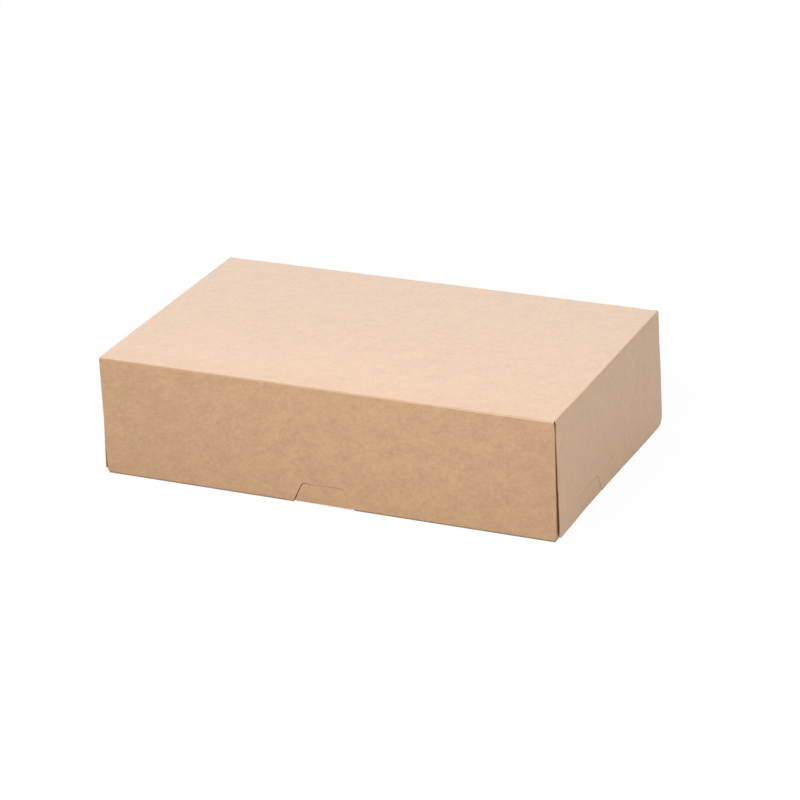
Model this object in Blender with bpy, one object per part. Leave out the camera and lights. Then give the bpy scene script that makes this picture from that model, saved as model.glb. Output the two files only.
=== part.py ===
"""Kraft cake carton: a glued tray with a hinged lid whose three flaps hang outside it.

The carton is modelled the way it is made, as panels of one die-cut sheet. Each panel is a flat
outline in its own frame: the origin is the middle of its crease, +X runs along the crease, +Y
runs away from it and +Z is the outer face's normal. A panel hangs on its neighbour and turns
about their crease by its fold angle, so every moving panel has its origin on its joint's axis.
World axes: X is the length, Y runs from front to rear, Z is up, and the origin is under the
middle of the closed carton.
"""

import math

import bmesh
import bpy
from mathutils import Matrix, Vector

MM = 0.001

# The closed carton and its board
LENGTH = 230.0 * MM
DEPTH = 140.0 * MM
HEIGHT = 60.0 * MM
BOARD = 0.5 * MM

# Clearances
PLAY = 0.3 * MM  # between a lid panel and the tray wall that it covers
CREASE_GAP = 0.3 * MM  # between the mitred edges of two panels at a crease
GLUE = 0.3 * MM  # thickness of a glue seam
FOOT_GAP = 0.9 * MM  # between a hanging flap's free edge and the table

# Folds, in degrees
SIDE_SPLAY = 2.3  # how far a side flap springs out from the tray
LOCK_PRESS = 5.0  # how far a lock tab is pushed in from its flap

# Front flap of the lid
FRONT_FLAP_TRIM = 0.6 * MM  # each end stops this far inside the carton's length
FRONT_FLAP_RADIUS = 1.0 * MM

# Side flaps of the lid
SIDE_FLAP_SHOULDER = 0.9 * MM  # from the carton's front to the flap's end at the crease
SIDE_FLAP_SETBACK = 3.2 * MM  # from the carton's front to the flap's front edge
SHOULDER_DROP = 2.6 * MM  # height over which the shoulder runs back to the front edge
SHOULDER_RADIUS = 1.2 * MM
SIDE_FLAP_REAR_TRIM = 0.5 * MM
SIDE_FLAP_FRONT_RADIUS = 0.8 * MM
SIDE_FLAP_REAR_RADIUS = 5.5 * MM

# Lock tabs, cut in the flaps' free edges, and the slots in the tray for them
LOCK_FOOT = 29.4 * MM
LOCK_HEAD = 20.0 * MM
LOCK_HEIGHT = 9.6 * MM
LOCK_RADIUS = 2.0 * MM
LOCK_LIFT = 0.1 * MM  # from the flap's free edge up to the tab's
LOCK_FOOT_RADIUS = 0.6 * MM
KERF = 0.3 * MM  # slit between a lock tab and its flap
SIDE_LOCK_SETBACK = 43.0 * MM  # from the carton's front to the middle of a side lock
SLOT_PLAY = 0.6 * MM  # between a slot and the lock tab that passes through it
SLOT_UNDERCUT = 1.2 * MM  # how far a slot runs past its crease into the floor

# Glue tabs on the ends of the side walls, and the seams that hold them
TAB_REACH = 25.0 * MM
TAB_END_TRIM = 2.0 * MM  # from the floor and from the wall's top to the tab
TAB_TAPER = 3.0 * MM  # how much the tab narrows at each edge towards its end
TAB_RADIUS = 2.5 * MM
SEAM_WIDTH = 12.0 * MM
SEAM_HEIGHT = 40.0 * MM
SEAM_RADIUS = 3.0 * MM

ARC_STEPS = 6
WELD_DISTANCE = 0.00001

# Sizes that follow from those above
SQUARE = math.pi / 2
WALL_OFFSET = BOARD + PLAY
TRAY_LENGTH = LENGTH - 2 * WALL_OFFSET
WALL_HEIGHT = HEIGHT - WALL_OFFSET
TRAY_FRONT = -DEPTH / 2 + WALL_OFFSET
TRAY_REAR = DEPTH / 2
SIDE_WALL_FRONT = TRAY_FRONT + BOARD + GLUE
SIDE_WALL_REAR = TRAY_REAR - BOARD - GLUE
SIDE_WALL_LENGTH = SIDE_WALL_REAR - SIDE_WALL_FRONT
SIDE_WALL_MIDDLE = (SIDE_WALL_REAR + SIDE_WALL_FRONT) / 2
FLAP_HEIGHT = HEIGHT - FOOT_GAP
SIDE_LOCK_Y = -DEPTH / 2 + SIDE_LOCK_SETBACK
LOCK_CREASE = FLAP_HEIGHT - LOCK_HEIGHT
LOCK_SLANT = (LOCK_FOOT - LOCK_HEAD) / (2 * LOCK_HEIGHT)
FRONT_LOCK_REACH = PLAY + BOARD
SIDE_LOCK_REACH = FRONT_LOCK_REACH + LOCK_CREASE * math.sin(math.radians(SIDE_SPLAY))

# Linear colours of the sheet and of the glue
KRAFT_OUTSIDE = (0.62, 0.42, 0.26)
KRAFT_INSIDE = (0.58, 0.39, 0.24)
GLUE_COLOUR = (0.80, 0.76, 0.66)
KRAFT_ROUGHNESS = 0.82
GLUE_ROUGHNESS = 0.45


def clear_scene():
    """Remove whatever the open file holds."""
    for old in list(bpy.data.objects):
        bpy.data.objects.remove(old, do_unlink=True)


def new_collection(name):
    """Return a new collection linked to the scene."""
    group = bpy.data.collections.new(name)
    bpy.context.scene.collection.children.link(group)
    return group


def finish_of(name, colour, roughness):
    """Return a Principled material for one piece."""
    material = bpy.data.materials.new(name + "_finish")
    material.use_nodes = True
    shader = material.node_tree.nodes["Principled BSDF"]
    shader.inputs["Base Color"].default_value = (*colour, 1.0)
    shader.inputs["Roughness"].default_value = roughness
    shader.inputs["Metallic"].default_value = 0.0
    return material


def arc_corner(before, corner, after, radius):
    """Return the points of an arc of the given radius that rounds a corner."""
    back = (before - corner).normalized()
    ahead = (after - corner).normalized()
    half = back.angle(ahead) / 2
    run = radius / math.tan(half)
    centre = corner + (back + ahead).normalized() * (radius / math.sin(half))
    start = corner + back * run - centre
    end = corner + ahead * run - centre
    sweep = start.angle_signed(end)
    return [centre + Matrix.Rotation(-sweep * step / ARC_STEPS, 2) @ start for step in range(ARC_STEPS + 1)]


def rounded_outline(corners):
    """Turn (x, y, radius) corners into a closed list of 2D points."""
    spots = [Vector((x, y)) for x, y, _ in corners]
    points = []
    for index, (_, _, radius) in enumerate(corners):
        if radius == 0:
            points.append(spots[index])
        else:
            after = spots[(index + 1) % len(spots)]
            points += arc_corner(spots[index - 1], spots[index], after, radius)
    return points


def sheet_object(name, corners, thickness, lowest):
    """Make a flat solid from an outline, standing on z = lowest in its own frame."""
    points = rounded_outline(corners)
    curve = bpy.data.curves.new(name + "_outline", "CURVE")
    curve.dimensions = "2D"
    curve.fill_mode = "BOTH"
    curve.extrude = thickness / 2
    spline = curve.splines.new("POLY")
    spline.points.add(len(points) - 1)
    for spot, point in zip(spline.points, points):
        spot.co = (point.x, point.y, 0.0, 1.0)
    spline.use_cyclic_u = True
    drawing = bpy.data.objects.new(name + "_outline", curve)
    bpy.context.scene.collection.objects.link(drawing)
    evaluated = drawing.evaluated_get(bpy.context.evaluated_depsgraph_get())
    mesh = bpy.data.meshes.new_from_object(evaluated)
    bpy.data.objects.remove(drawing, do_unlink=True)
    bpy.data.curves.remove(curve)
    mesh.name = name
    mesh.transform(Matrix.Translation((0, 0, lowest + thickness / 2)))
    bm = bmesh.new()
    bm.from_mesh(mesh)
    bmesh.ops.remove_doubles(bm, verts=bm.verts, dist=WELD_DISTANCE)
    bmesh.ops.recalc_face_normals(bm, faces=bm.faces)
    bm.to_mesh(mesh)
    bm.free()
    return bpy.data.objects.new(name, mesh)


def mitre(panel, spot, outward):
    """Cut a panel's edge back at 45 degrees, so that it meets a panel folded square to it.

    The plane leans in from the outer face's crease line and stops half the crease gap short.
    """
    lean = SQUARE / 2
    normal = Vector(outward) * math.cos(lean) - Vector((0, 0, 1)) * math.sin(lean)
    bm = bmesh.new()
    bm.from_mesh(panel.data)
    everything = bm.verts[:] + bm.edges[:] + bm.faces[:]
    bmesh.ops.bisect_plane(
        bm,
        geom=everything,
        plane_co=Vector(spot) - normal * CREASE_GAP / 2,
        plane_no=normal,
        clear_outer=True,
    )
    open_edges = [edge for edge in bm.edges if edge.is_boundary]
    bmesh.ops.holes_fill(bm, edges=open_edges)
    bmesh.ops.recalc_face_normals(bm, faces=bm.faces)
    bm.to_mesh(panel.data)
    bm.free()


def place(child, parent, spot, turn=0.0, fold=0.0):
    """Hang a panel on its parent: at a spot, turned in the plane, then folded inwards (radians)."""
    child.parent = parent
    child.matrix_local = (
        Matrix.Translation(spot)
        @ Matrix.Rotation(turn, 4, "Z")
        @ Matrix.Rotation(-fold, 4, "X")
    )


def add_piece(parts, name, corners, colour=KRAFT_OUTSIDE):
    """Make one panel of the sheet, its outer face on z = 0, and put it in the collection."""
    panel = sheet_object(name, corners, BOARD, -BOARD)
    panel.data.materials.append(finish_of(name, colour, KRAFT_ROUGHNESS))
    parts.objects.link(panel)
    return panel


def slot_width(reach, level):
    """Width of a slot at a level above the crease, for a lock that crosses it at a reach."""
    spread = SLOT_PLAY + LOCK_SLANT * reach
    head_level = FOOT_GAP + LOCK_HEIGHT + SLOT_PLAY
    share = 1 - level / head_level
    return LOCK_HEAD + 2 * spread + (LOCK_FOOT - LOCK_HEAD) * share


def wall_with_slot(width, height, reach, middle):
    """Corners of a wall whose crease edge is open for a lock tab."""
    head_level = FOOT_GAP + LOCK_HEIGHT + SLOT_PLAY
    foot = slot_width(reach, 0) / 2
    head = slot_width(reach, head_level) / 2
    return [
        (-width / 2, 0, 0),
        (middle - foot, 0, 0),
        (middle - head, head_level, LOCK_RADIUS),
        (middle + head, head_level, LOCK_RADIUS),
        (middle + foot, 0, 0),
        (width / 2, 0, 0),
        (width / 2, height, 0),
        (-width / 2, height, 0),
    ]


def lock_opening(middle):
    """Corners of the cut-out in a flap's free edge, from +X to -X, with the lock's kerf."""
    foot = LOCK_FOOT / 2 + KERF
    head = LOCK_HEAD / 2 + KERF
    top = LOCK_CREASE - KERF / 2
    return [
        (middle + foot, FLAP_HEIGHT, 0),
        (middle + head, top, LOCK_RADIUS),
        (middle - head, top, LOCK_RADIUS),
        (middle - foot, FLAP_HEIGHT, 0),
    ]


def build_floor(parts):
    """The tray's floor, face down, notched where the slots run past its creases."""
    front = -TRAY_FRONT
    rear = -TRAY_REAR
    half = TRAY_LENGTH / 2
    front_slot = slot_width(FRONT_LOCK_REACH, 0) / 2
    side_slot = slot_width(SIDE_LOCK_REACH, 0) / 2
    lock = -SIDE_LOCK_Y
    inner = half - SLOT_UNDERCUT
    corners = [
        (-half, rear, 0),
        (half, rear, 0),
        (half, lock - side_slot, 0),
        (inner, lock - side_slot, 0),
        (inner, lock + side_slot, 0),
        (half, lock + side_slot, 0),
        (half, front, 0),
        (front_slot, front, 0),
        (front_slot, front - SLOT_UNDERCUT, 0),
        (-front_slot, front - SLOT_UNDERCUT, 0),
        (-front_slot, front, 0),
        (-half, front, 0),
        (-half, lock + side_slot, 0),
        (-inner, lock + side_slot, 0),
        (-inner, lock - side_slot, 0),
        (-half, lock - side_slot, 0),
    ]
    floor = add_piece(parts, "floor_panel", corners, KRAFT_INSIDE)
    floor.matrix_world = Matrix.Rotation(2 * SQUARE, 4, "X")
    mitre(floor, (0, front, 0), (0, 1, 0))
    mitre(floor, (0, rear, 0), (0, -1, 0))
    mitre(floor, (half, 0, 0), (1, 0, 0))
    mitre(floor, (-half, 0, 0), (-1, 0, 0))
    return floor


def build_long_walls(parts, floor):
    """The front wall with its slot, and the rear wall that carries the lid."""
    front_corners = wall_with_slot(TRAY_LENGTH, WALL_HEIGHT, FRONT_LOCK_REACH, 0)
    front_wall = add_piece(parts, "front_wall", front_corners)
    mitre(front_wall, (0, 0, 0), (0, -1, 0))
    place(front_wall, floor, (0, -TRAY_FRONT, 0), fold=SQUARE)
    half = TRAY_LENGTH / 2
    rear_corners = [(-half, 0, 0), (half, 0, 0), (half, HEIGHT, 0), (-half, HEIGHT, 0)]
    rear_wall = add_piece(parts, "rear_wall", rear_corners)
    mitre(rear_wall, (0, 0, 0), (0, -1, 0))
    mitre(rear_wall, (0, HEIGHT, 0), (0, 1, 0))
    place(rear_wall, floor, (0, -TRAY_REAR, 0), turn=2 * SQUARE, fold=SQUARE)
    return front_wall, rear_wall


def build_side_wall(parts, floor, side, sign):
    """One side wall. sign is +1 on the right, where local +X runs to the rear, and -1 on the left."""
    lock = (SIDE_LOCK_Y - SIDE_WALL_MIDDLE) * sign
    corners = wall_with_slot(SIDE_WALL_LENGTH, WALL_HEIGHT, SIDE_LOCK_REACH, lock)
    wall = add_piece(parts, side + "_wall", corners)
    mitre(wall, (0, 0, 0), (0, -1, 0))
    mitre(wall, (SIDE_WALL_LENGTH / 2, 0, 0), (1, 0, 0))
    mitre(wall, (-SIDE_WALL_LENGTH / 2, 0, 0), (-1, 0, 0))
    place(wall, floor, (sign * TRAY_LENGTH / 2, -SIDE_WALL_MIDDLE, 0), turn=-sign * SQUARE, fold=SQUARE)
    return wall


def build_glue_tab(parts, wall, name, end):
    """A tapered tab folded in from a side wall's end, at local +X (end = 1) or -X (end = -1)."""
    half = WALL_HEIGHT / 2 - TAB_END_TRIM
    corners = [
        (-half, 0, 0),
        (half, 0, 0),
        (half - TAB_TAPER, TAB_REACH, TAB_RADIUS),
        (TAB_TAPER - half, TAB_REACH, TAB_RADIUS),
    ]
    tab = add_piece(parts, name, corners, KRAFT_INSIDE)
    mitre(tab, (0, 0, 0), (0, -1, 0))
    spot = (end * SIDE_WALL_LENGTH / 2, WALL_HEIGHT / 2, 0)
    place(tab, wall, spot, turn=-end * SQUARE, fold=SQUARE)


def build_glue_seam(parts, wall, name, end):
    """The film of glue between a long wall and a glue tab, near the wall's +X or -X end."""
    half = SEAM_WIDTH / 2
    corners = [
        (-half, -SEAM_HEIGHT / 2, SEAM_RADIUS),
        (half, -SEAM_HEIGHT / 2, SEAM_RADIUS),
        (half, SEAM_HEIGHT / 2, SEAM_RADIUS),
        (-half, SEAM_HEIGHT / 2, SEAM_RADIUS),
    ]
    seam = sheet_object(name, corners, GLUE, -BOARD - GLUE)
    seam.data.materials.append(finish_of(name, GLUE_COLOUR, GLUE_ROUGHNESS))
    parts.objects.link(seam)
    centre = TRAY_LENGTH / 2 - (BOARD + TAB_REACH) / 2
    place(seam, wall, (end * centre, WALL_HEIGHT / 2, 0))


def build_lid(parts, rear_wall):
    """The top panel, hinged on the rear wall's top crease."""
    half = LENGTH / 2
    corners = [(-half, 0, 0), (half, 0, 0), (half, DEPTH, 0), (-half, DEPTH, 0)]
    lid = add_piece(parts, "lid_panel", corners)
    mitre(lid, (0, 0, 0), (0, -1, 0))
    mitre(lid, (0, DEPTH, 0), (0, 1, 0))
    mitre(lid, (half, 0, 0), (1, 0, 0))
    mitre(lid, (-half, 0, 0), (-1, 0, 0))
    place(lid, rear_wall, (0, HEIGHT, 0), fold=SQUARE)
    return lid


def build_front_flap(parts, lid):
    """The flap that hangs from the lid's front crease."""
    half = LENGTH / 2 - FRONT_FLAP_TRIM
    corners = [
        (-half, 0, 0),
        (half, 0, 0),
        (half, FLAP_HEIGHT, FRONT_FLAP_RADIUS),
        *lock_opening(0),
        (-half, FLAP_HEIGHT, FRONT_FLAP_RADIUS),
    ]
    flap = add_piece(parts, "front_flap", corners)
    mitre(flap, (0, 0, 0), (0, -1, 0))
    place(flap, lid, (0, DEPTH, 0), fold=SQUARE)
    return flap


def build_side_flap(parts, lid, side, sign):
    """One side flap. sign is +1 on the right, where local +X runs to the front, and -1 on the left."""
    crease_front = sign * (DEPTH / 2 - SIDE_FLAP_SHOULDER)
    edge_front = sign * (DEPTH / 2 - SIDE_FLAP_SETBACK)
    rear = -sign * (DEPTH / 2 - SIDE_FLAP_REAR_TRIM)
    opening = lock_opening(-sign * SIDE_LOCK_Y)
    if sign < 0:
        opening.reverse()
    corners = [
        (rear, 0, 0),
        (crease_front, 0, 0),
        (edge_front, SHOULDER_DROP, SHOULDER_RADIUS),
        (edge_front, FLAP_HEIGHT, SIDE_FLAP_FRONT_RADIUS),
        *opening,
        (rear, FLAP_HEIGHT, SIDE_FLAP_REAR_RADIUS),
    ]
    flap = add_piece(parts, side + "_flap", corners)
    mitre(flap, (0, 0, 0), (0, -1, 0))
    fold = SQUARE - math.radians(SIDE_SPLAY)
    place(flap, lid, (-sign * LENGTH / 2, DEPTH / 2, 0), turn=sign * SQUARE, fold=fold)
    return flap


def build_lock(parts, flap, name, middle):
    """A lock tab, hinged where the inner face of its flap meets the tab's crease."""
    free_edge = LOCK_HEIGHT - LOCK_LIFT
    head = LOCK_HEAD / 2 + LOCK_SLANT * KERF / 2
    foot = LOCK_HEAD / 2 + LOCK_SLANT * free_edge
    corners = [
        (-head, KERF / 2, LOCK_RADIUS),
        (head, KERF / 2, LOCK_RADIUS),
        (foot, free_edge, LOCK_FOOT_RADIUS),
        (-foot, free_edge, LOCK_FOOT_RADIUS),
    ]
    lock = sheet_object(name, corners, BOARD, 0)
    lock.data.materials.append(finish_of(name, KRAFT_OUTSIDE, KRAFT_ROUGHNESS))
    parts.objects.link(lock)
    place(lock, flap, (middle, LOCK_CREASE, -BOARD), fold=math.radians(LOCK_PRESS))


def build_carton():
    """Build the whole closed carton."""
    clear_scene()
    parts = new_collection("cake_carton")
    floor = build_floor(parts)
    front_wall, rear_wall = build_long_walls(parts, floor)
    for side, sign in (("left", -1), ("right", 1)):
        wall = build_side_wall(parts, floor, side, sign)
        build_glue_tab(parts, wall, f"front_{side}_glue_tab", -sign)
        build_glue_tab(parts, wall, f"rear_{side}_glue_tab", sign)
        build_glue_seam(parts, front_wall, f"front_{side}_glue_seam", sign)
        build_glue_seam(parts, rear_wall, f"rear_{side}_glue_seam", -sign)
    lid = build_lid(parts, rear_wall)
    front_flap = build_front_flap(parts, lid)
    build_lock(parts, front_flap, "front_lock", 0)
    for side, sign in (("left", -1), ("right", 1)):
        flap = build_side_flap(parts, lid, side, sign)
        build_lock(parts, flap, side + "_lock", -sign * SIDE_LOCK_Y)


build_carton()
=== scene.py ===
"""Kraft cake carton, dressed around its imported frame.

The carton is one die-cut sheet of board. Each panel is drawn in its own frame, as it lies on the
folded carton: the origin is the middle of its crease, +X runs along the crease, +Y runs away from
it, and +Z is the outer face's normal. The same panel also has its place on the flat blank, before
folding. The board's fibres are drawn on the blank, so they run on across every fold.
Lengths are in millimetres until a mesh is made, and the world is in metres.
"""

import logging
import math
from collections.abc import Callable, Sequence
from dataclasses import dataclass, field, replace
from enum import Enum, IntEnum

import bmesh
import bpy
from mathutils import Matrix, Vector, noise


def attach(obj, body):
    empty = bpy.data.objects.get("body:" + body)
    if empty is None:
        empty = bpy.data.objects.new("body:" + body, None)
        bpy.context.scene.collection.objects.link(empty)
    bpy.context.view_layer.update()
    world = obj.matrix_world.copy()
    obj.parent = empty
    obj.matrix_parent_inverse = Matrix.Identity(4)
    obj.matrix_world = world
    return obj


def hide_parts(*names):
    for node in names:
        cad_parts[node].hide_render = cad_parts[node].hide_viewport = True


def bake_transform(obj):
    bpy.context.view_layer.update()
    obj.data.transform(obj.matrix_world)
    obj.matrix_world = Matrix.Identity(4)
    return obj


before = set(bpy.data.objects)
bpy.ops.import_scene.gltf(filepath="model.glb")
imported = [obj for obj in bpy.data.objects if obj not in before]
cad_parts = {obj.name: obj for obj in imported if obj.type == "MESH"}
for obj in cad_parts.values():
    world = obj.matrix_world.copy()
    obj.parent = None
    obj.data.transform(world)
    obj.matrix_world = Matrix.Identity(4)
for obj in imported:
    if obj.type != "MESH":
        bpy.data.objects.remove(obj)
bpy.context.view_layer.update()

LOG = logging.getLogger("cake_carton")

MM = 0.001
SQUARE = math.pi / 2

# The closed carton and its board
LENGTH = 230.0
DEPTH = 140.0
HEIGHT = 60.0
BOARD = 0.5
PLAY = 0.3
GLUE = 0.3
FOOT_GAP = 1.05
LID_CLEARANCE = 0.3

# Folds: how far each kind bends into its panels, and where the flat panels take over
LID_BEND = 0.85
TRAY_BEND = 1.2
FOOT_BEND = 0.9
FOLD_REACH = 1.7

# Cut edges: how far they are softened, and the angle from which an edge is drawn sharp
SOFTENED = 0.04
SHARP_ANGLE = math.radians(38)

# How far the side flaps spring out, and how far the locks are pressed in
SIDE_SPLAY = math.radians(2.3)
LOCK_PRESS = math.radians(5.0)

# Lock tabs, and the slots for them
LOCK_FOOT = 29.4
LOCK_HEAD = 20.0
LOCK_HEIGHT = 9.45
LOCK_RADIUS = 1.8
SIDE_LOCK_SETBACK = 43.0
FRONT_LOCK_SHIFT = -0.85

# Tray sizes that follow from the closed carton
TRAY_HALF = LENGTH / 2 - BOARD - PLAY
TRAY_FRONT = -DEPTH / 2 + BOARD + PLAY
TRAY_REAR = DEPTH / 2
WALL_HEIGHT = HEIGHT - BOARD - PLAY - LID_CLEARANCE
SIDE_WALL_FRONT = TRAY_FRONT + BOARD + GLUE
SIDE_WALL_REAR = TRAY_REAR - BOARD - GLUE
FLAP_HEIGHT = HEIGHT - FOOT_GAP

# Finishes: how a cooler tone changes each colour, and what of a pattern's shift goes sideways
COOLING = (-0.3, 0.1, 1.0)
SIDE_SHIFT = 0.37
WHITE = (1.0, 1.0, 1.0, 1.0)

Bend = Callable[[float, float], float]
Lift = Callable[[float], float]
Coats = Sequence[bpy.types.Material]
Socket = bpy.types.NodeSocket
Colour = tuple[float, float, float]
Size = tuple[float, float, float]


class Coat(IntEnum):
    """Which finish a face of the board takes; the value is its material slot."""

    OUTSIDE = 0
    INSIDE = 1
    CUT = 2


class Side(Enum):
    """Left or right of the carton, seen from the front; the value is the sign of X."""

    LEFT = -1
    RIGHT = 1


class Slot(Enum):
    """The record's material slots that pieces of board take."""

    OUTSIDE = "kraft_outside"
    INSIDE = "kraft_inside"


def ease(value: float) -> float:
    """Smooth step from 0 to 1, flat at both ends.

    Args:
        value: where to read the step; it is held to 0..1.

    Returns:
        The eased value, 0 to 1.
    """
    held = min(1.0, max(0.0, value))
    return held * held * (3.0 - 2.0 * held)


def mix(low: float, high: float, share: float) -> float:
    """Return the value that lies at a share of the way from low to high."""
    return low + (high - low) * share


def drift(across: float, away: float, reach: float, seed: float) -> float:
    """Slow, smooth unevenness of a sheet.

    Args:
        across: place along the panel's crease.
        away: place away from the crease.
        reach: size of one wave.
        seed: picks another pattern.

    Returns:
        A value from about -1 to 1.
    """
    return noise.noise(Vector((across / reach, away / reach, seed)))


def no_lift(across: float) -> float:
    """Return no lift: the panel's rim lies in its plane."""
    return 0.0


def level(across: float, away: float) -> float:
    """Bend of a panel that stays flat."""
    return 0.0


def within(half: float, place: float, run: float) -> float:
    """Return 1 around the middle of a width, eased to 0 at half of it on either side."""
    return ease((half - abs(place)) / run)


def mound(place: float, middle: float, width: float) -> float:
    """Return a smooth hump, 1 high at its middle."""
    return math.exp(-(((place - middle) / width) ** 2))


@dataclass(frozen=True)
class Rise:
    """A smooth step from 0 to 1, by where it starts and how long it takes."""

    start: float
    run: float

    def at(self, place: float) -> float:
        """Return the step's height at a place."""
        return ease((place - self.start) / self.run)


@dataclass(frozen=True)
class Slack:
    """How far a panel strays from its plane: an even part, and slow waves of a given reach."""

    even: float
    waves: float
    reach: float
    seed: float

    def at(self, across: float, away: float) -> float:
        """Return the distance at a place of the panel."""
        return self.even + self.waves * drift(across, away, self.reach, self.seed)


@dataclass(frozen=True)
class Corner:
    """One corner of a panel's outline, with the radius that rounds it."""

    across: float
    away: float
    radius: float = 0.0


def tapered(middle: float, near: Corner, far: Corner) -> list[Corner]:
    """Give the outline of a panel that is symmetric about a line square to its crease.

    Args:
        middle: the line's place along the crease.
        near: the corner by the crease; its across is half the width there.
        far: the corner away from the crease, likewise.

    Returns:
        The four corners, counterclockwise.
    """
    return [
        Corner(middle - near.across, near.away, near.radius),
        Corner(middle + near.across, near.away, near.radius),
        Corner(middle + far.across, far.away, far.radius),
        Corner(middle - far.across, far.away, far.radius),
    ]


@dataclass(frozen=True)
class Place:
    """Where a panel lies: on the folded carton and on the flat blank."""

    folded: Matrix
    blank: Matrix

    def hang(
        self, across: float, away: float, turn: float = 0.0, fold: float = 0.0, pivot: float = 0.0
    ) -> "Place":
        """Give the place of a panel that is creased to this one.

        Args:
            across: the crease's middle, along this panel's crease.
            away: the crease's middle, away from this panel's crease.
            turn: how far the crease is turned in this panel's plane.
            fold: how far the new panel is folded inwards.
            pivot: depth under the outer face at which the crease turns.

        Returns:
            The new panel's place.
        """
        turned = Matrix.Rotation(turn, 4, "Z")
        spot = Matrix.Translation((across, away, -pivot))
        creased = self.folded @ spot @ turned @ Matrix.Rotation(-fold, 4, "X")
        blank = self.blank @ Matrix.Translation((across, away, 0)) @ turned
        return Place(creased @ Matrix.Translation((0, 0, pivot)), blank)

    def point(self, across: float, away: float, rise: float) -> Vector:
        """Return a point of the panel on the folded carton, in metres."""
        return (self.folded @ Vector((across, away, rise))) * MM

    def on_blank(self, across: float, away: float, rise: float) -> Vector:
        """Return the same point of the panel on the flat blank, in millimetres."""
        return self.blank @ Vector((across, away, rise))


@dataclass(frozen=True)
class Station:
    """One step across a fold: the outer and inner skin in the crease's own plane.

    Each skin is (away, rise). along is the place on the blank, away from the crease line, and
    wear_and_highlight is how far the fold turns the board towards its fold colour there: partly
    cracked fibres, partly a painted highlight along the crease.
    """

    outer: tuple[float, float]
    inner: tuple[float, float]
    along: float
    wear_and_highlight: float


@dataclass(frozen=True)
class Span:
    """A length of a fold, from start to end along the crease, on both panels that it joins."""

    start: float
    end: float
    start_beyond: float
    end_beyond: float

    @classmethod
    def straight(cls, start: float, end: float) -> "Span":
        """Return a span whose ends are square to the crease."""
        return cls(start, end, start, end)


@dataclass
class MeshDraft:
    """Points and faces of a piece of board, gathered before its mesh is made."""

    points: list[Vector] = field(default_factory=list)
    blank: list[Vector] = field(default_factory=list)
    wear_and_highlight: list[float] = field(default_factory=list)
    faces: list[list[int]] = field(default_factory=list)
    coats: list[Coat] = field(default_factory=list)

    def add_point(self, point: Vector, blank: Vector, wear_and_highlight: float = 0.0) -> int:
        """Add a point.

        Args:
            point: place on the folded carton, in metres.
            blank: place on the flat blank, in millimetres.
            wear_and_highlight: how far a fold turns the board towards its fold colour, 0 to 1; partly
                cracked fibres, partly a painted highlight.

        Returns:
            The point's number.
        """
        self.points.append(point)
        self.blank.append(blank)
        self.wear_and_highlight.append(wear_and_highlight)
        return len(self.points) - 1

    def add_face(self, corners: list[int], coat: Coat) -> None:
        """Add a face with its coat."""
        self.faces.append(corners)
        self.coats.append(coat)

    def make(self, name: str, coats: Coats) -> bpy.types.Object:
        """Make the object.

        Args:
            name: the object's name.
            coats: the materials, in the order of Coat.

        Returns:
            The new object, linked to the scene.
        """
        mesh = bpy.data.meshes.new(name)
        mesh.from_pydata(self.points, [], self.faces)
        for coat in coats:
            mesh.materials.append(coat)
        mesh.polygons.foreach_set("material_index", [int(coat) for coat in self.coats])
        spots = mesh.attributes.new("blank", "FLOAT_VECTOR", "POINT")
        spots.data.foreach_set("vector", [value for spot in self.blank for value in spot])
        # Along the folds the colour turns to a fold colour: partly cracked fibres, partly a painted
        # highlight.
        worn_and_highlit = mesh.attributes.new("wear_and_highlight", "FLOAT", "POINT")
        worn_and_highlit.data.foreach_set("value", self.wear_and_highlight)
        shaping = bmesh.new()
        shaping.from_mesh(mesh)
        bmesh.ops.recalc_face_normals(shaping, faces=shaping.faces)
        shaping.to_mesh(mesh)
        shaping.free()
        mesh.polygons.foreach_set("use_smooth", [True] * len(mesh.polygons))
        mesh.set_sharp_from_angle(angle=SHARP_ANGLE)
        piece = bpy.data.objects.new(name, mesh)
        bpy.context.scene.collection.objects.link(piece)
        return piece


@dataclass(frozen=True)
class Pattern:
    """A stretched noise pattern, by the size of its largest features and its detail.

    turn and shift place it on the sheet, and weight is its share in a sum of patterns.
    """

    size: Size
    detail: float
    roughness: float
    turn: float = 0.0
    shift: float = 0.0
    weight: float = 1.0


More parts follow.
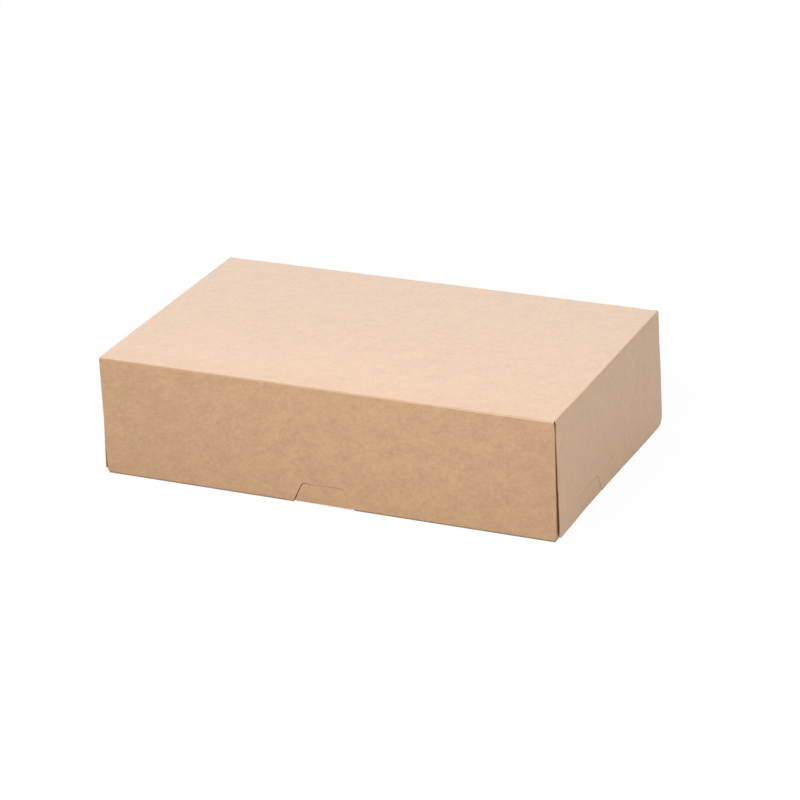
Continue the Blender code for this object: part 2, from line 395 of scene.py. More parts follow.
class NodeBench:
    """A material's or world's node tree, with short ways to add and join nodes."""

    def __init__(self, tree: bpy.types.NodeTree) -> None:
        """Start on an empty tree."""
        self.tree = tree
        self.tree.nodes.clear()

    def add(
        self, kind: str, feeds: dict[str | int, object] | None = None, **settings: object
    ) -> bpy.types.Node:
        """Add a node.

        Args:
            kind: the node's type name.
            feeds: what its inputs take, by name or number: another node's socket, or a value.
            settings: the node's own properties.

        Returns:
            The new node.
        """
        node = self.tree.nodes.new(kind)
        for key, value in settings.items():
            setattr(node, key, value)
        for key, value in (feeds or {}).items():
            if isinstance(value, Socket):
                self.tree.links.new(value, node.inputs[key])
            else:
                node.inputs[key].default_value = value
        return node

    def attribute(self, name: str) -> bpy.types.Node:
        """Return a node that reads one of the mesh's attributes."""
        return self.add("ShaderNodeAttribute", attribute_name=name)

    def stretched(self, coordinates: Socket, size: Size, turn: float, shift: float) -> Socket:
        """Turn and stretch coordinates, so that one unit is the given size.

        Args:
            coordinates: the coordinates.
            size: the size of one unit along each turned axis.
            turn: angle in the sheet's plane.
            shift: how far to move along the sheet, for another pattern.

        Returns:
            The new coordinates.
        """
        feeds = {
            "Vector": coordinates,
            "Location": (shift, shift * SIDE_SHIFT, 0.0),
            "Rotation": (0.0, 0.0, turn),
            "Scale": size,
        }
        return self.add("ShaderNodeMapping", feeds, vector_type="TEXTURE").outputs["Vector"]

    def clouds(self, coordinates: Socket, pattern: Pattern, seed: float = 0.0) -> Socket:
        """Add a noise pattern.

        Args:
            coordinates: where it is read.
            pattern: its size, detail and place.
            seed: how much further it is shifted, for another sheet.

        Returns:
            The pattern, 0.5 on average.
        """
        spot = self.stretched(coordinates, pattern.size, pattern.turn, seed + pattern.shift)
        feeds = {"Vector": spot, "Scale": 1.0, "Detail": pattern.detail, "Roughness": pattern.roughness}
        return self.add("ShaderNodeTexNoise", feeds, noise_dimensions="3D").outputs["Fac"]

    def sum_of(self, parts: Sequence[tuple[Socket, float]], start: float) -> Socket:
        """Add up patterns by weight.

        Args:
            parts: each pattern with its weight.
            start: the value to add them to.

        Returns:
            The sum.
        """
        total: object = start
        for pattern, weight in parts:
            step = self.add("ShaderNodeMath", {0: pattern, 1: weight, 2: total}, operation="MULTIPLY_ADD")
            total = step.outputs[0]
        return total

    def centred(self, parts: Sequence[tuple[Socket, float]], middle: float = 0.5) -> Socket:
        """Add up patterns, each 0.5 on average, by weight and about a middle value."""
        return self.sum_of(parts, middle - 0.5 * sum(weight for _, weight in parts))

    def product(self, first: Socket, second: Socket) -> Socket:
        """Multiply two values."""
        return self.add("ShaderNodeMath", {0: first, 1: second}, operation="MULTIPLY").outputs[0]

    def graded(self, value: Socket, low: float, high: float, start: float = 0.0, end: float = 1.0) -> Socket:
        """Map the range low..high to start..end, held at both ends."""
        feeds = {"Value": value, "From Min": low, "From Max": high, "To Min": start, "To Max": end}
        return self.add("ShaderNodeMapRange", feeds).outputs["Result"]

    def ramp(self, value: Socket, low: Colour, high: Colour) -> Socket:
        """Colour a value, from one linear colour at 0 to another at 1.

        Args:
            value: the value.
            low: the colour at 0.
            high: the colour at 1.

        Returns:
            The colour.
        """
        node = self.add("ShaderNodeValToRGB", {"Fac": value})
        for element, colour in zip(node.color_ramp.elements, (low, high)):
            element.color = (*colour, 1.0)
        return node.outputs["Color"]

    def blended(self, share: Socket, under: Socket, over: Colour) -> Socket:
        """Lay a plain colour over another by a share from 0 to 1."""
        # The mix node's colours are its inputs 6 and 7, and its output 2
        feeds = {0: share, 6: under, 7: (*over, 1.0)}
        return self.add("ShaderNodeMix", feeds, data_type="RGBA").outputs[2]

    def skin(
        self, colour: Socket, matt: Socket, height: Socket, relief: float, depth: float, shine: float = 0.5
    ) -> None:
        """Give the material a surface with a relief.

        Args:
            colour: its colour.
            matt: its roughness.
            height: the relief's pattern.
            relief: how strongly the relief shows, 0 to 1.
            depth: the relief's depth, in millimetres.
            shine: how much it mirrors, 0 to 1.
        """
        bump = self.add("ShaderNodeBump", {"Strength": relief, "Distance": depth * MM, "Height": height})
        feeds = {
            "Base Color": colour,
            "Roughness": matt,
            "Specular IOR Level": shine,
            "Normal": bump.outputs["Normal"],
        }
        self.show(self.add("ShaderNodeBsdfPrincipled", feeds).outputs["BSDF"])

    def show(self, surface: Socket, output: str = "ShaderNodeOutputMaterial") -> None:
        """Make a surface, or a world's backdrop, what the tree puts out."""
        self.add(output, {"Surface": surface})


def tinted(colour: Colour, factor: float, coolness: float = 0.0) -> Colour:
    """Return a colour made lighter or darker, and a little cooler, or warmer below zero."""
    return tuple(value * factor * (1.0 + coolness * step) for value, step in zip(colour, COOLING))


def new_material(name: str) -> tuple[bpy.types.Material, NodeBench]:
    """Make a material whose node tree is still empty.

    Args:
        name: the material's name.

    Returns:
        The material, and the bench for its nodes.
    """
    material = bpy.data.materials.new(name)
    material.use_nodes = True
    return material, NodeBench(material.node_tree)


@dataclass(frozen=True)
class KraftFinish:
    """Uncoated kraft board: long fibres, slow mottle, flecks and a soft, matt skin.

    The fibres lie in three directions, most of them along the board's grain. Sizes are in
    millimetres on the flat blank.
    """

    name: str
    tone: Colour
    fleck: Colour
    # The fold colour along the folds is partly cracked fibres, partly a painted highlight along the crease.
    frayed_and_highlight: Colour
    spread: float
    fibre_strength: float
    roughness: float
    shine: float
    relief: float
    seed: float
    slow: Pattern = Pattern((70.0, 70.0, 70.0), 2.0, 0.5, weight=0.12)
    mottle: Pattern = Pattern((11.0, 9.0, 10.0), 4.0, 1.0, turn=0.4, shift=31.0, weight=1.35)
    grain: Pattern = Pattern((2.2, 1.7, 2.0), 2.0, 0.8, turn=0.1, shift=57.0, weight=0.60)
    fibres: tuple[Pattern, ...] = (
        Pattern((7.0, 0.55, 1.0), 1.5, 0.5, turn=0.12, shift=97.0, weight=0.42),
        Pattern((4.5, 0.48, 1.0), 1.5, 0.5, turn=1.1, shift=194.0, weight=0.30),
        Pattern((5.0, 0.50, 1.0), 1.5, 0.5, turn=-0.75, shift=291.0, weight=0.28),
    )
    coolness: float = 0.03
    fraying_and_highlight: float = 0.5
    mottle_gloss: float = 0.14
    fibre_gloss: float = 0.10
    relief_shares: tuple[float, float, float] = (0.5, 0.8, 0.6)
    relief_depth: float = 0.03
    fleck_cell: Size = (4.6, 3.4, 4.0)
    fleck_turn: float = 0.5
    fleck_shift: float = 11.0
    fleck_size: tuple[float, float] = (0.05, 0.09)
    fleck_rarity: tuple[float, float] = (0.72, 0.98)
    fleck_strength: float = 0.55

    def build(self) -> bpy.types.Material:
        """Make the material.

        Returns:
            A node material that reads the board's place on the flat blank.
        """
        material, bench = new_material(self.name)
        blank = bench.attribute("blank").outputs["Vector"]
        slow = bench.clouds(blank, self.slow, self.seed)
        mottle = bench.clouds(blank, self.mottle, self.seed)
        grain = bench.clouds(blank, self.grain, self.seed)
        layers = [(bench.clouds(blank, layer, self.seed), layer.weight) for layer in self.fibres]
        fibres = bench.centred(layers)
        weights = (self.slow.weight, self.mottle.weight, self.grain.weight, self.fibre_strength)
        tone = bench.centred(list(zip((slow, mottle, grain, fibres), weights)))
        low = tinted(self.tone, 1.0 - self.spread, -self.coolness)
        high = tinted(self.tone, 1.0 + self.spread, self.coolness)
        colour = bench.blended(self.flecks(bench, blank), bench.ramp(tone, low, high), self.fleck)
        # Along each fold the colour turns towards the fold colour: partly cracked fibres, partly a painted
        # highlight.
        worn_and_highlit = bench.graded(bench.attribute("wear_and_highlight").outputs["Fac"], 0.0, 1.0, 0.0, self.fraying_and_highlight)
        colour = bench.blended(worn_and_highlit, colour, self.frayed_and_highlight)
        matt = bench.centred([(mottle, self.mottle_gloss), (fibres, self.fibre_gloss)], self.roughness)
        height = bench.sum_of(list(zip((grain, fibres, mottle), self.relief_shares)), 0.0)
        bench.skin(colour, matt, height, self.relief, self.relief_depth, self.shine)
        return material

    def flecks(self, bench: NodeBench, blank: Socket) -> Socket:
        """Scatter small dark flecks of bark, about one in three square centimetres.

        Args:
            bench: the material's nodes.
            blank: the place on the flat blank.

        Returns:
            How far a fleck covers the board, 0 to 1.
        """
        spot = bench.stretched(blank, self.fleck_cell, self.fleck_turn, self.seed + self.fleck_shift)
        feeds = {"Vector": spot, "Scale": 1.0}
        cells = bench.add("ShaderNodeTexVoronoi", feeds, voronoi_dimensions="3D", feature="F1")
        near = bench.graded(cells.outputs["Distance"], *self.fleck_size, 1.0, 0.0)
        chosen = bench.add("ShaderNodeSeparateColor", {"Color": cells.outputs["Color"]})
        rare = bench.graded(chosen.outputs["Red"], *self.fleck_rarity, 0.0, self.fleck_strength)
        return bench.product(near, rare)


@dataclass(frozen=True)
class GlueFinish:
    """Dried carton glue: milky, uneven, half glossy; its patterns' sizes are in metres."""

    name: str
    tone: Colour
    roughness: float
    streaks: Pattern = Pattern((0.004, 0.004, 0.0009), 3.0, 0.6, shift=0.02, weight=0.6)
    pools: Pattern = Pattern((0.006, 0.006, 0.006), 2.0, 0.5, shift=0.05, weight=0.6)
    pool_range: tuple[float, float] = (0.3, 0.7)
    shades: tuple[float, float] = (0.82, 1.08)
    gloss: tuple[float, float] = (-0.12, 0.15)
    relief: float = 0.4
    relief_depth: float = 0.1

    def build(self) -> bpy.types.Material:
        """Make the material.

        Returns:
            A node material in the piece's own coordinates.
        """
        material, bench = new_material(self.name)
        spot = bench.add("ShaderNodeTexCoord").outputs["Object"]
        streaks = bench.clouds(spot, self.streaks)
        pools = bench.clouds(spot, self.pools)
        tone = bench.centred([(streaks, self.streaks.weight), (pools, self.pools.weight)])
        colour = bench.ramp(tone, *(tinted(self.tone, shade) for shade in self.shades))
        matt = bench.graded(pools, *self.pool_range, *(self.roughness + change for change in self.gloss))
        bench.skin(colour, matt, streaks, self.relief, self.relief_depth)
        return material


@dataclass(frozen=True)
class BoardCoats:
    """The three finishes of the board: its outside, its inside and its cut edge."""

    # Each coat's fold colour is partly cracked fibres, partly a painted highlight along the crease.
    outside: KraftFinish = KraftFinish(
        name="kraft_outside_fibres",
        tone=(0.516, 0.298, 0.147),
        fleck=(0.36, 0.20, 0.105),
        frayed_and_highlight=(0.58, 0.345, 0.188),
        spread=0.25,
        fibre_strength=0.55,
        roughness=0.33,
        shine=0.9,
        relief=0.35,
        seed=0.0,
    )
    inside: KraftFinish = KraftFinish(
        name="kraft_inside_fibres",
        tone=(0.50, 0.293, 0.158),
        fleck=(0.33, 0.19, 0.10),
        frayed_and_highlight=(0.59, 0.38, 0.24),
        spread=0.25,
        fibre_strength=0.75,
        roughness=0.72,
        shine=0.35,
        relief=0.55,
        seed=700.0,
    )
    cut: KraftFinish = KraftFinish(
        name="kraft_cut_edge_fibres",
        tone=(0.66, 0.43, 0.28),
        fleck=(0.38, 0.22, 0.12),
        frayed_and_highlight=(0.62, 0.41, 0.26),
        spread=0.16,
        fibre_strength=0.9,
        roughness=0.85,
        shine=0.3,
        relief=0.6,
        seed=1500.0,
    )

    def build(self) -> list[bpy.types.Material]:
        """Make the three materials, in the order of Coat."""
        return [self.outside.build(), self.inside.build(), self.cut.build()]


def rounded(corners: Sequence[Corner], steps: int = 6) -> list[Vector]:
    """Turn corners into a closed line of points, counterclockwise.

    Args:
        corners: the outline's corners, in order round it.
        steps: how many pieces each rounding has.

    Returns:
        The outline's points.
    """
    spots = [Vector((corner.across, corner.away)) for corner in corners]
    points: list[Vector] = []
    for index, corner in enumerate(corners):
        spot = spots[index]
        if corner.radius == 0:
            points.append(spot)
            continue
        back = (spots[index - 1] - spot).normalized()
        ahead = (spots[(index + 1) % len(spots)] - spot).normalized()
        half = back.angle(ahead) / 2
        centre = spot + (back + ahead).normalized() * (corner.radius / math.sin(half))
        run = corner.radius / math.tan(half)
        start = spot + back * run - centre
        sweep = start.angle_signed(spot + ahead * run - centre)
        for step in range(steps + 1):
            points.append(centre + Matrix.Rotation(-sweep * step / steps, 2) @ start)
    area = sum(points[i - 1].cross(points[i]) for i in range(len(points)))
    return points if area > 0 else points[::-1]


def outward_step(before: Vector, spot: Vector, after: Vector, distance: float) -> Vector:
    """Move an outline point square to its two neighbouring edges.

    Args:
        before: the point before it, counterclockwise.
        spot: the point.
        after: the point after it.
        distance: how far each edge moves outwards.

    Returns:
        The moved point.
    """
    first = (spot - before).normalized()
    second = (after - spot).normalized()
    normals = Vector((first.y + second.y, -first.x - second.x))
    return spot + normals * (distance / max(0.5, 1.0 + first.dot(second)))


def widened(line: Sequence[Vector], distance: float) -> list[Vector]:
    """Move a closed line outwards, square to its edges.

    Args:
        line: the line's points, counterclockwise.
        distance: how far each edge moves; below zero it moves inwards.

    Returns:
        The moved points.
    """
    after = [*line[1:], line[0]]
    return [outward_step(line[i - 1], spot, after[i], distance) for i, spot in enumerate(line)]


@dataclass
class Sheet:
    """One panel of the board, with softened cut edges and a slight bend of its own.

    cell is the size of its grid's cells, and a point nearer to a line of the grid than snap lies
    on it.
    """

    node: str
    body: str
    place: Place
    corners: Sequence[Corner]
    bend: Bend = level
    slot: Slot = Slot.OUTSIDE
    cell: float = 5.0
    snap: float = 0.02

    def build(self, coats: Coats) -> bpy.types.Object:
        """Make the panel, in the place of its node.

        Args:
            coats: the board's materials.

        Returns:
            The panel's object.
        """
        spots, cells, rim = self.sliced(widened(rounded(self.corners), -SOFTENED))
        draft = MeshDraft()
        outer = [self.add(draft, spot, 0.0) for spot in spots]
        inner = [self.add(draft, spot, -BOARD) for spot in spots]
        for cell in cells:
            draft.add_face([outer[i] for i in cell], Coat.OUTSIDE)
            draft.add_face([inner[i] for i in reversed(cell)], Coat.INSIDE)
        wide = widened([spots[i] for i in rim], SOFTENED)
        upper = [self.add(draft, spot, -SOFTENED) for spot in wide]
        lower = [self.add(draft, spot, SOFTENED - BOARD) for spot in wide]
        rings = ([outer[i] for i in rim], upper, lower, [inner[i] for i in rim])
        for i in range(len(rim)):
            j = (i + 1) % len(rim)
            for high, low in zip(rings, rings[1:]):
                draft.add_face([high[j], high[i], low[i], low[j]], Coat.CUT)
        piece = draft.make(self.node + "_board", coats)
        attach(piece, self.body)
        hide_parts(self.node)
        LOG.info("%s: %d faces, rides on %s", piece.name, len(draft.faces), self.body)
        return piece

    def add(self, draft: MeshDraft, spot: Vector, rise: float) -> int:
        """Add a point of the panel, bent out of its plane."""
        point = self.place.point(spot.x, spot.y, rise + self.bend(spot.x, spot.y))
        return draft.add_point(point, self.place.on_blank(spot.x, spot.y, rise))

    def sliced(self, outline: Sequence[Vector]) -> tuple[list[Vector], list[list[int]], list[int]]:
        """Fill an outline with a grid of cells.

        Args:
            outline: the closed line, counterclockwise.

        Returns:
            The points, the cells as point numbers, and the rim's points in order.
        """
        cutting = bmesh.new()
        cutting.faces.new([cutting.verts.new((spot.x, spot.y, 0.0)) for spot in outline])
        for axis in (0, 1):
            low = min(spot[axis] for spot in outline)
            high = max(spot[axis] for spot in outline)
            count = max(1, round((high - low) / self.cell))
            for index in range(1, count):
                spot = Vector((0, 0, 0))
                spot[axis] = mix(low, high, index / count)
                normal = Vector((0, 0, 0))
                normal[axis] = 1.0
                everything = cutting.verts[:] + cutting.edges[:] + cutting.faces[:]
                bmesh.ops.bisect_plane(
                    cutting, geom=everything, dist=self.snap, plane_co=spot, plane_no=normal
                )
        cutting.verts.index_update()
        spots = [Vector((vert.co.x, vert.co.y)) for vert in cutting.verts]
        cells = [[loop.vert.index for loop in face.loops] for face in cutting.faces]
        following = {
            loop.vert.index: loop.link_loop_next.vert.index
            for face in cutting.faces
            for loop in face.loops
            if loop.edge.is_boundary
        }
        cutting.free()
        rim = [next(iter(following))]
        while following[rim[-1]] != rim[0]:
            rim.append(following[rim[-1]])
        return spots, cells, rim


@dataclass
class Fold:
    """The rounded strip of board between two panels that are folded on a crease.

    It is drawn in the child panel's frame before folding: +Y runs out of the parent panel.
    A bead of pushed-in board runs along the inner side. The strip laps over the softened rims of
    both panels, and each lift tells how far a panel's rim stands out of its plane, by the place
    along the crease.
    """

    name: str
    parent_body: str
    child_body: str
    child: Place
    angle: float
    spans: Sequence[Span]
    slot: Slot = Slot.OUTSIDE
    bead: float = 0.13
    reach: float = TRAY_BEND
    parent_lift: Lift = no_lift
    child_lift: Lift = no_lift
    steps: int = 8
    cell: float = 5.0
    margin: float = 0.02

    def frame(self) -> Matrix:
        """Return the crease's frame: the child's, turned back into the parent's plane."""
        return self.child.folded @ Matrix.Rotation(self.angle, 4, "X")

    def stations(self, across: float) -> list[Station]:
        """Work out the steps across the fold, from the parent panel to the child panel.

        Args:
            across: the place along the crease.

        Returns:
            The steps, each in the crease's own plane.
        """
        sine, cosine = math.sin(self.angle), math.cos(self.angle)
        before, beyond = self.parent_lift(across), self.child_lift(across)
        corner = Vector(((beyond - before * cosine) / sine, before))
        radius = self.reach / math.tan(self.angle / 2)
        end = FOLD_REACH + SOFTENED
        found = [Station((-end, before), (-end, before - BOARD), -end, 0.0)]
        for step in range(self.steps + 1):
            share = step / self.steps
            lean = self.angle * share
            turn = Vector((math.sin(lean), math.cos(lean)))
            swell = math.sin(math.pi * share) ** 2
            outer = corner + radius * turn - Vector((self.reach, radius))
            inner = outer - (BOARD + self.bead * swell) * turn
            # swell also sets how far the colour turns to the fold colour: partly cracked fibres, partly a
            # painted highlight.
            found.append(Station(tuple(outer), tuple(inner), mix(-self.reach, self.reach, share), swell))
        normal = Vector((sine, cosine))
        outer = end * Vector((cosine, -sine)) + beyond * normal
        found.append(Station(tuple(outer), tuple(outer - BOARD * normal), end, 0.0))
        return found

    def build(self, coats: Coats) -> bpy.types.Object:
        """Make the strip; it rides on its body when both panels are one body, and otherwise its place is
        baked into its mesh.

        Args:
            coats: the board's materials.

        Returns:
            The strip's object.
        """
        draft = MeshDraft()
        for span in self.spans:
            self.add_span(draft, span)
        piece = draft.make(self.name, coats)
        if self.parent_body == self.child_body:
            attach(piece, self.parent_body)
        else:
            start, end = self.ends()
            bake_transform(piece)
        count = len(draft.faces)
        LOG.info("%s: %d faces, joins %s and %s", self.name, count, self.parent_body, self.child_body)
        return piece

    def add_span(self, draft: MeshDraft, span: Span) -> None:
        """Add one length of the strip, closed at its ends.

        Args:
            draft: the piece's points and faces.
            span: the length of fold.
        """
        columns = max(1, round(abs(span.end - span.start) / self.cell))
        lines = [self.add_column(draft, span, column / columns) for column in range(columns + 1)]
        outer, inner = zip(*lines)
        for row in range(len(outer[0]) - 1):
            after = row + 1
            for here, there, below, below_there in zip(outer, outer[1:], inner, inner[1:]):
                draft.add_face([here[row], there[row], there[after], here[after]], Coat.OUTSIDE)
                draft.add_face([below[after], below_there[after], below_there[row], below[row]], Coat.INSIDE)
            for over, under in ((outer[0], inner[0]), (inner[-1], outer[-1])):
                draft.add_face([over[row], over[after], under[after], under[row]], Coat.CUT)
        for c in range(columns):
            draft.add_face([outer[c + 1][0], outer[c][0], inner[c][0], inner[c + 1][0]], Coat.CUT)
            draft.add_face([outer[c][-1], outer[c + 1][-1], inner[c + 1][-1], inner[c][-1]], Coat.CUT)

    def add_column(self, draft: MeshDraft, span: Span, share: float) -> tuple[list[int], list[int]]:
        """Add the points of one line across the strip.

        Args:
            draft: the piece's points and faces.
            span: the length of fold that the line lies in.
            share: the line's place between the span's ends, 0 to 1.

        Returns:
            The points of the outer skin and of the inner skin.
        """
        crease = self.frame()
        here = mix(span.start, span.end, share)
        there = mix(span.start_beyond, span.end_beyond, share)
        stations = self.stations((here + there) / 2)
        first, last = stations[0].along, stations[-1].along
        lines: tuple[list[int], list[int]] = ([], [])
        for station in stations:
            across = mix(here, there, ease((station.along - first) / (last - first)))
            for line, skin, depth in ((lines[0], station.outer, 0.0), (lines[1], station.inner, -BOARD)):
                blank = self.child.on_blank(across, station.along, depth)
                line.append(draft.add_point(crease @ Vector((across, *skin)) * MM, blank, station.wear_and_highlight))
        return lines

    def ends(self) -> tuple[Vector, Vector]:
        """Give two points near the strip's ends, one by each panel.

        They lie inside the strip's ends by the board's own slant and the margin.

        Returns:
            The point by the parent panel and the one by the child panel, in metres.
        """
        crease = self.frame()
        stations = self.stations(0.0)
        first = Vector((0.0, *stations[0].outer))
        last = Vector((0.0, *stations[-1].outer))
        way = (last - first).normalized()
        inset = BOARD * math.sin(self.angle / 2) + self.margin
        return crease @ (first + way * inset) * MM, crease @ (last - way * inset) * MM


@dataclass
class LockCrease(Fold):
    """The narrow scored crease between a flap and its lock tab, which turns on the inner face."""

    bend: Bend = level
    middle: float = 0.0
    crease: float = 0.0
    width: float = 0.3
    groove: float = 0.28

    def frame(self) -> Matrix:
        """Return the crease's frame, in the flap's plane."""
        pivot = Matrix.Translation((0, 0, -BOARD))
        return self.child.folded @ pivot @ Matrix.Rotation(self.angle, 4, "X") @ pivot.inverted()

    def stations(self, across: float) -> list[Station]:
        """Work out the steps across the crease, from the flap to the lock tab.

        Args:
            across: the place along the crease.

        Returns:
            The steps, lifted by the flap's own bend.
        """
        found = []
        base = self.bend(self.middle + across, self.crease) - BOARD
        for step in range(self.steps + 1):
            share = step / self.steps
            lean = self.angle * ease(share)
            along = mix(-self.width / 2, self.width / 2, share)
            dip = self.groove * math.sin(math.pi * share) ** 2
            sine, cosine = math.sin(lean), math.cos(lean)
            outer = (along * cosine + (BOARD - dip) * sine, base + (BOARD - dip) * cosine - along * sine)
            inner = (along * cosine, base - along * sine)
            found.append(Station(outer, inner, along, 0.0))
        return found


@dataclass
class LockTab:
    """A lock tab cut in a flap's free edge, with its crease.

    free_lift is how far its foot ends above the flap's free edge. kerf is the cut's width, score
    and groove are the crease's width and depth, and offset is how far the tab lies off the middle
    of its cut-out. sprung is how far the foot's -X end and +X end have sprung back out.
    """

    node: str
    flap_body: str
    flap: Place
    middle: float
    bend: Bend
    free_lift: float
    kerf: float
    sprung: tuple[float, float]
    foot: float = LOCK_FOOT
    head: float = LOCK_HEAD
    height: float = LOCK_HEIGHT
    radius: float = LOCK_RADIUS
    foot_radius: float = 0.6
    score: float = 0.3
    groove: float = 0.28
    offset: float = 0.0
    crease_inset: float = 0.64
    cell: float = 2.5
    crease_cell: float = 2.0

    @property
    def crease(self) -> float:
        """The crease's place, away from the flap's own crease."""
        return FLAP_HEIGHT - self.height

    @property
    def slant(self) -> float:
        """How much each side runs out for each millimetre down."""
        return (self.foot - self.head) / (2 * self.height)

    def opening(self) -> list[Corner]:
        """Give the corners of the cut-out in the flap's free edge.

        Returns:
            The corners, from +X to -X.
        """
        foot = self.foot / 2 + self.kerf
        head = self.head / 2 + self.kerf
        top = self.crease - self.score / 2
        return [
            Corner(self.middle + foot, FLAP_HEIGHT),
            Corner(self.middle + head, top, self.radius),
            Corner(self.middle - head, top, self.radius),
            Corner(self.middle - foot, FLAP_HEIGHT),
        ]

    def build(self, coats: Coats) -> None:
        """Make the tab and its crease strip.

        Args:
            coats: the board's materials.
        """
        place = self.flap.hang(self.middle, self.crease, fold=LOCK_PRESS, pivot=BOARD)
        free_edge = self.height - self.free_lift
        near = Corner(self.head / 2 + self.slant * self.kerf / 2, self.score / 2, self.radius)
        far = Corner(self.head / 2 + self.slant * free_edge, free_edge, self.foot_radius)
        corners = tapered(self.offset, near, far)
        Sheet(self.node, self.node, place, corners, bend=self.own_bend, cell=self.cell).build(coats)
        reach = self.head / 2 - self.crease_inset * self.radius
        LockCrease(
            name=self.node + "_crease",
            parent_body=self.flap_body,
            child_body=self.node,
            child=place,
            angle=LOCK_PRESS,
            spans=[Span.straight(self.offset - reach, self.offset + reach)],
            cell=self.crease_cell,
            bend=self.bend,
            middle=self.middle,
            crease=self.crease,
            width=self.score,
            groove=self.groove,
        ).build(coats)

    def own_bend(self, across: float, away: float) -> float:
        """Give the tab's bend: the flap's own, and what has sprung back out at each end.

        Args:
            across: place along the tab's crease.
            away: place away from it.

        Returns:
            The distance outwards.
        """
        share = 0.5 + across / self.foot
        sprung = mix(self.sprung[0], self.sprung[1], share) * away / self.height
        return self.bend(self.middle + across, self.crease + away) + sprung


@dataclass(frozen=True)
class LockSlot:
    """A slot in a tray wall, open at the crease, that a lock tab passes through.

    reach is how far the tab has come from its flap where it meets the wall.
    """

    middle: float
    reach: float
    headroom: float = 0.0
    play: float = 0.6
    head: float = LOCK_HEAD
    foot: float = LOCK_FOOT
    height: float = LOCK_HEIGHT
    radius: float = LOCK_RADIUS

    @property
    def top(self) -> float:
        """The slot's head, above the wall's crease."""
        return FOOT_GAP + self.height + self.play + self.headroom

    def half(self, above: float) -> float:
        """Give half the slot's width.

        Args:
            above: the level, above the wall's crease.

        Returns:
            Half the width there.
        """
        slant = (self.foot - self.head) / (2 * self.height)
        spread = self.play + slant * self.reach
        return self.head / 2 + spread + (self.foot - self.head) / 2 * (1 - above / self.top)

    def notch(self) -> list[Corner]:
        """Give the corners of the slot in a wall that starts at the fold's end.

        Returns:
            The corners, from -X to +X.
        """
        foot, head = self.half(FOLD_REACH), self.half(self.top)
        return [
            Corner(self.middle - foot, FOLD_REACH),
            Corner(self.middle - head, self.top, self.radius),
            Corner(self.middle + head, self.top, self.radius),
            Corner(self.middle + foot, FOLD_REACH),
        ]

    def spans(self, start: float, end: float) -> list[Span]:
        """Give the two lengths of fold beside the slot.

        Args:
            start: the fold's -X end.
            end: the fold's +X end.

        Returns:
            The two lengths.
        """
        foot, wall = self.half(0.0), self.half(FOLD_REACH)
        return [
            Span(start, self.middle - foot, start, self.middle - wall),
            Span(self.middle + foot, end, self.middle + wall, end),
        ]


def on_table() -> Place:
    """Return the floor panel's place: its outer face lies down, and the flat blank starts there."""
    return Place(Matrix.Rotation(math.pi, 4, "X"), Matrix.Identity(4))


